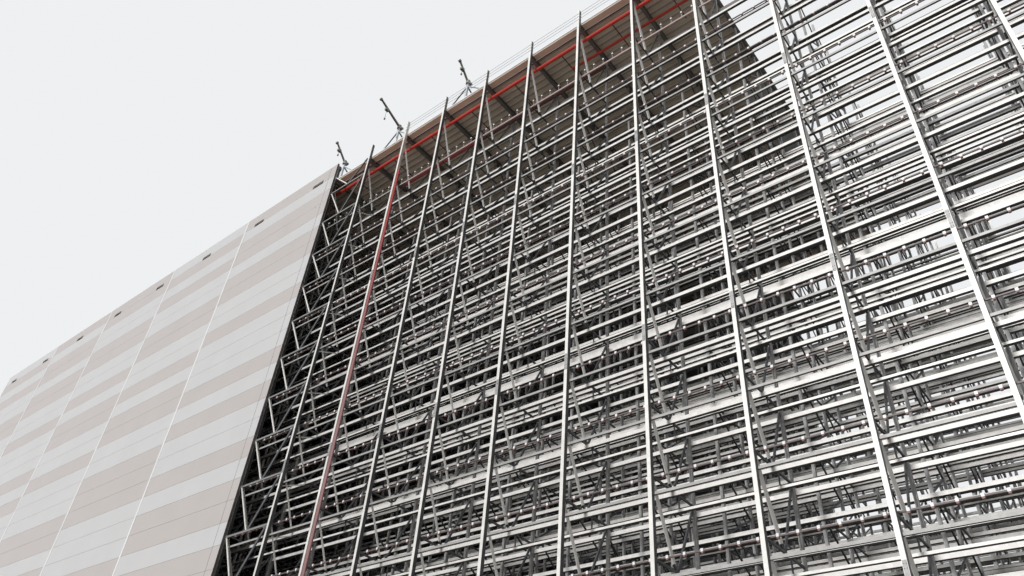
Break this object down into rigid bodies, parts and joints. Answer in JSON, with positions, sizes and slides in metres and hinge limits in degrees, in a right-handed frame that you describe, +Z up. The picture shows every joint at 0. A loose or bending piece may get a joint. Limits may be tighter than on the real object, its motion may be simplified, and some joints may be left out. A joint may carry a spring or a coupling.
{
  "type": "distribution warehouse under construction, scale model at 1:2",
  "caption": "Rack-clad high-bay warehouse at half scale: banded wall panels at one end, open galvanised racking at the other, roof deck, sprinkler pipes and slewing roof hoists",
  "frame": {"origin": "centre of the underside of the floor slab", "axes": "+X along the long front wall towards the open end, +Y into the building from the front wall, +Z up"},
  "size_m": [39.012, 12.581, 18.7203],
  "materials": {
    "galvanised_steel": "hot-dip galvanised rolled steel, dull spangle",
    "wall_panel": "coil-coated sandwich panel, light and warm grey bands",
    "white_trim": "folded white coated sheet",
    "red_pipe": "red powder-coated sprinkler pipe",
    "rack_pipe": "primed pipe with clips",
    "roof_deck": "coated trapezoidal sheet, brownish underside",
    "roof_steel": "dark primed beams",
    "hoist_steel": "zinc-plated and grey painted hoist steel",
    "wire_rope": "taut steel wire rope",
    "concrete": "power-floated concrete"
  },
  "bodies": {
    "building": {"back_cladding": "wall_panel", "back_inner_beams": "galvanised_steel", "back_inner_uprights": "galvanised_steel", "back_parapet": "wall_panel", "back_posts": "galvanised_steel", "back_wall_rails": "galvanised_steel", "base_slab": "concrete", "end_wall_cladding": "wall_panel", "end_wall_rails": "galvanised_steel", "front_cladding_1": "wall_panel", "front_cladding_2": "wall_panel", "front_cladding_3": "wall_panel", "front_cladding_4": "wall_panel", "front_cladding_5": "wall_panel", "front_frame_struts": "galvanised_steel", "front_inner_beams": "galvanised_steel", "front_inner_uprights": "galvanised_steel", "front_mid_beams": "galvanised_steel", "front_outer_beams": "galvanised_steel", "front_parapet": "wall_panel", "front_posts": "galvanised_steel", "front_wall_bracing": "galvanised_steel", "front_wall_rails": "galvanised_steel", "hoist_1_base": "hoist_steel", "hoist_2_base": "hoist_steel", "hoist_3_base": "hoist_steel", "joint_trims": "white_trim", "parapet_cap": "white_trim", "rack_sprinkler_lines": "rack_pipe", "roof_deck": "roof_deck", "roof_edge_trim": "white_trim", "roof_long_beams": "roof_steel", "roof_rafters": "roof_steel", "roof_sprinkler_main": "red_pipe", "row_b_beams": "galvanised_steel", "row_b_uprights": "galvanised_steel", "row_c_beams": "galvanised_steel", "row_c_uprights": "galvanised_steel", "row_d_beams": "galvanised_steel", "row_d_uprights": "galvanised_steel", "safety_lines": "wire_rope", "sprinkler_riser": "red_pipe"},
    "hoist_1_slew": {"hoist_1_jib": "hoist_steel"},
    "hoist_2_slew": {"hoist_2_jib": "hoist_steel"},
    "hoist_3_slew": {"hoist_3_jib": "hoist_steel"}
  },
  "joints": [
    {"name": "hoist_1_turn", "type": "hinge", "parent": "building", "child": "hoist_1_slew", "pos_m": [2.2412, -5.765, 18.14], "axis": [0, 0, 1], "range_deg": [-90, 90]},
    {"name": "hoist_2_turn", "type": "hinge", "parent": "building", "child": "hoist_2_slew", "pos_m": [4.5596, -5.765, 18.14], "axis": [0, 0, 1], "range_deg": [-90, 90]},
    {"name": "hoist_3_turn", "type": "hinge", "parent": "building", "child": "hoist_3_slew", "pos_m": [7.166, -5.765, 18.14], "axis": [0, 0, 1], "range_deg": [-90, 90]}
  ]
}
